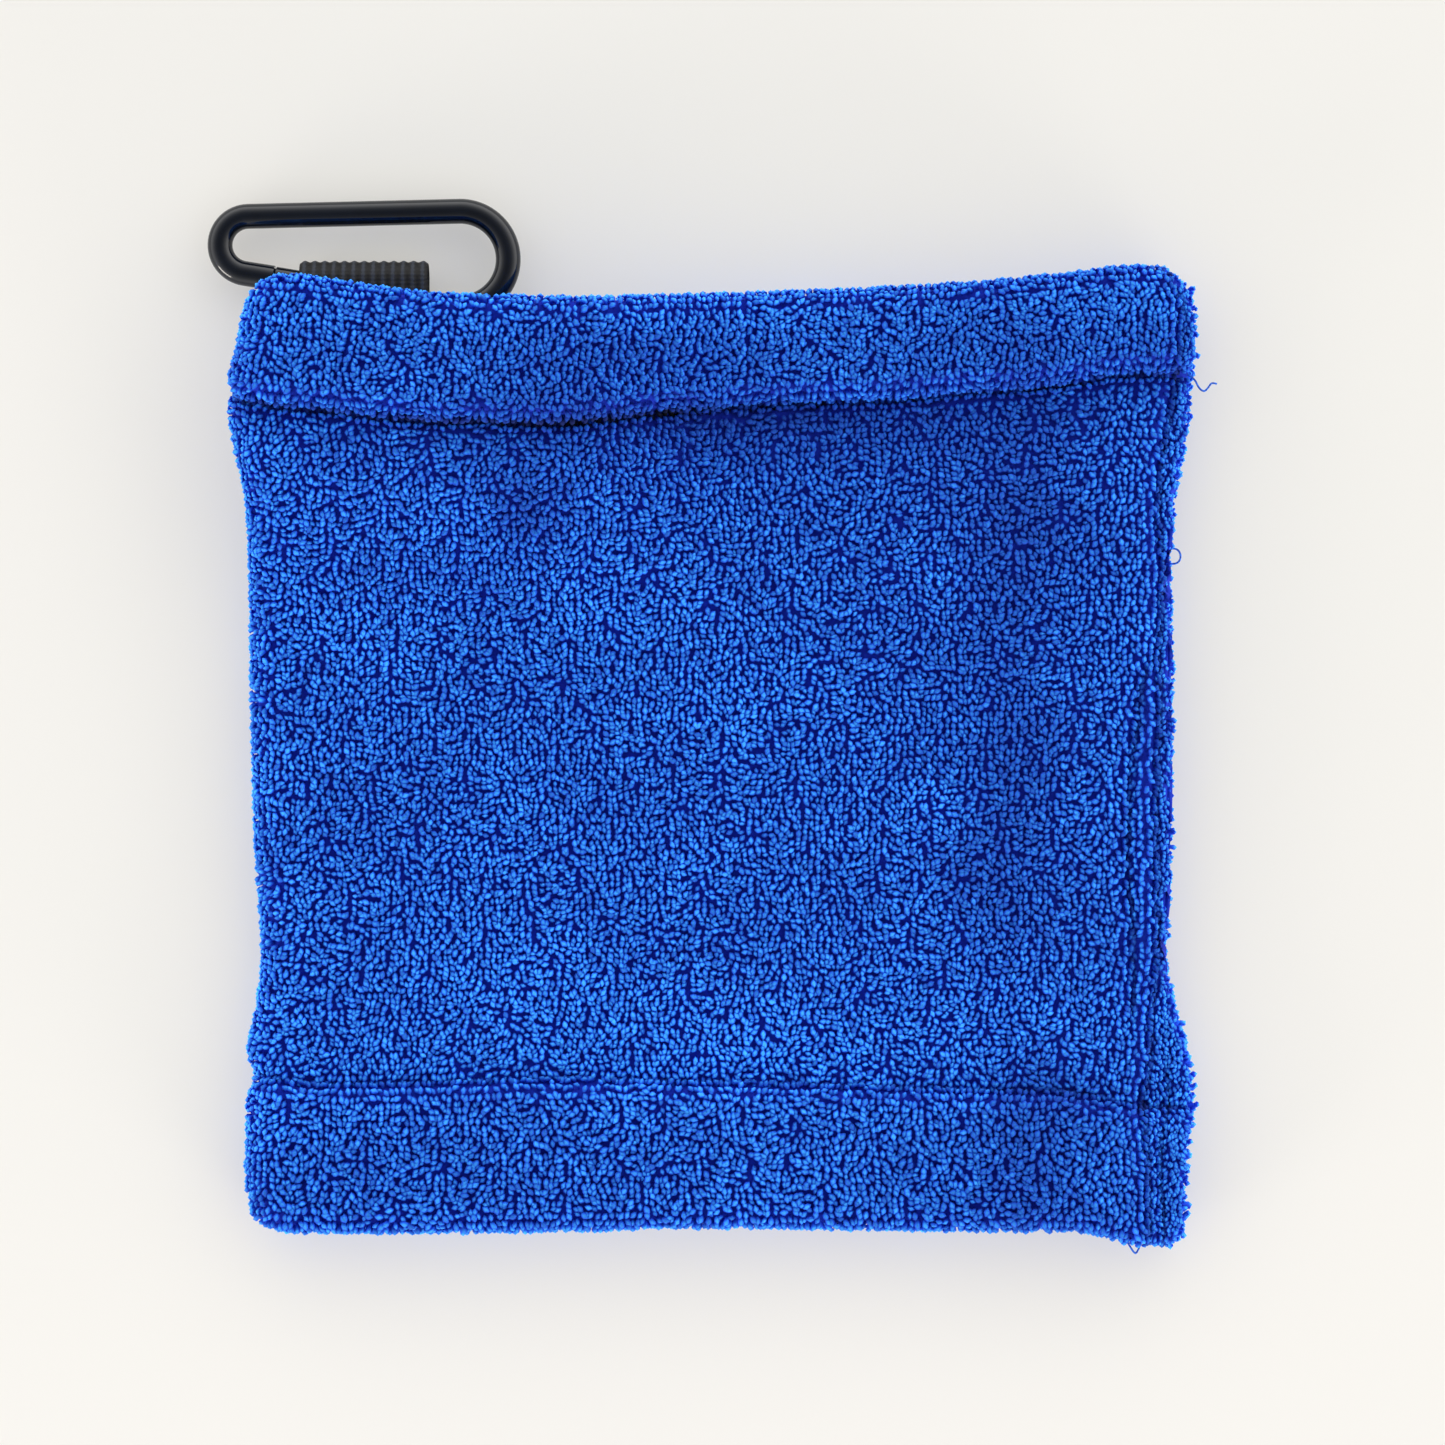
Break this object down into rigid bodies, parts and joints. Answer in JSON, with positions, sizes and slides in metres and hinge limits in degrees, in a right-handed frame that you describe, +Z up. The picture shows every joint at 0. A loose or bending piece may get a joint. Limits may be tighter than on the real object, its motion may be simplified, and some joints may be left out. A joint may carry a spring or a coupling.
{
  "type": "golf towel",
  "caption": "Folded, hemmed terry cloth with a stitched webbing loop and a sprung-gate carabiner that clips it to a golf bag.",
  "frame": {"origin": "on the resting face, under the middle of the cloth, which lies flat on its back", "axes": "+Z up through the front of the cloth, +Y towards the hemmed edge with the carabiner, +X to the right seen from the front"},
  "size_m": [0.1611, 0.1691, 0.0166],
  "materials": {
    "terry_cloth": "looped microfibre terry pile, matt with a soft sheen",
    "sewing_thread": "spun polyester thread",
    "webbing": "ribbed woven polyester webbing",
    "webbing_thread": "spun polyester thread",
    "black_aluminium": "gloss black coated aluminium",
    "pin_steel": "blackened steel",
    "spring_steel": "bright drawn spring wire"
  },
  "bodies": {
    "towel": {"back_panel": "terry_cloth", "front_panel": "terry_cloth", "left_fold": "terry_cloth", "top_hem_back": "terry_cloth", "top_hem_front": "terry_cloth", "bottom_hem_back": "terry_cloth", "bottom_hem_front": "terry_cloth", "seam_allowance_back": "terry_cloth", "seam_allowance_front": "terry_cloth", "top_hem_stitching": "sewing_thread", "bottom_hem_stitching": "sewing_thread", "side_seam_stitching": "sewing_thread", "overlock_edge": "sewing_thread", "loose_thread_ends": "sewing_thread", "webbing_tail": "webbing", "loop_stitching": "webbing_thread"},
    "loop": {"webbing_loop": "webbing"},
    "gate": {"gate": "black_aluminium", "gate_pivot_pin": "pin_steel", "latch_pin": "pin_steel", "gate_spring": "spring_steel"},
    "ring": {"carabiner_ring": "black_aluminium"},
    "plunger": {"gate_plunger": "pin_steel"}
  },
  "joints": [
    {"name": "loop_flex", "type": "hinge", "parent": "towel", "child": "loop", "pos_m": [-0.05615, 0.0595, 0.0046], "axis": [1, 0, 0], "range_deg": [-60, 0]},
    {"name": "ring_swing", "type": "hinge", "parent": "loop", "child": "gate", "pos_m": [-0.0446, 0.0722, 0.0032], "axis": [0.9874, -0.1582, 0], "range_deg": [-120, 30]},
    {"name": "gate_hinge", "type": "hinge", "parent": "gate", "child": "ring", "pos_m": [-0.0446, 0.0722, 0.0032], "axis": [0, 0, 1], "range_deg": [0, 12], "stiffness_Nm_per_rad": 0.05, "springref_deg": -28.65},
    {"name": "plunger_slide", "type": "slide", "parent": "gate", "child": "plunger", "axis": [-0.9874, 0.1582, 0], "range_m": [0, 0.00027], "deforming": ["gate_spring"]}
  ],
  "couplings": [
    {"joint": "plunger_slide", "follows": "gate_hinge", "m_per_rad": 0.0012}
  ]
}
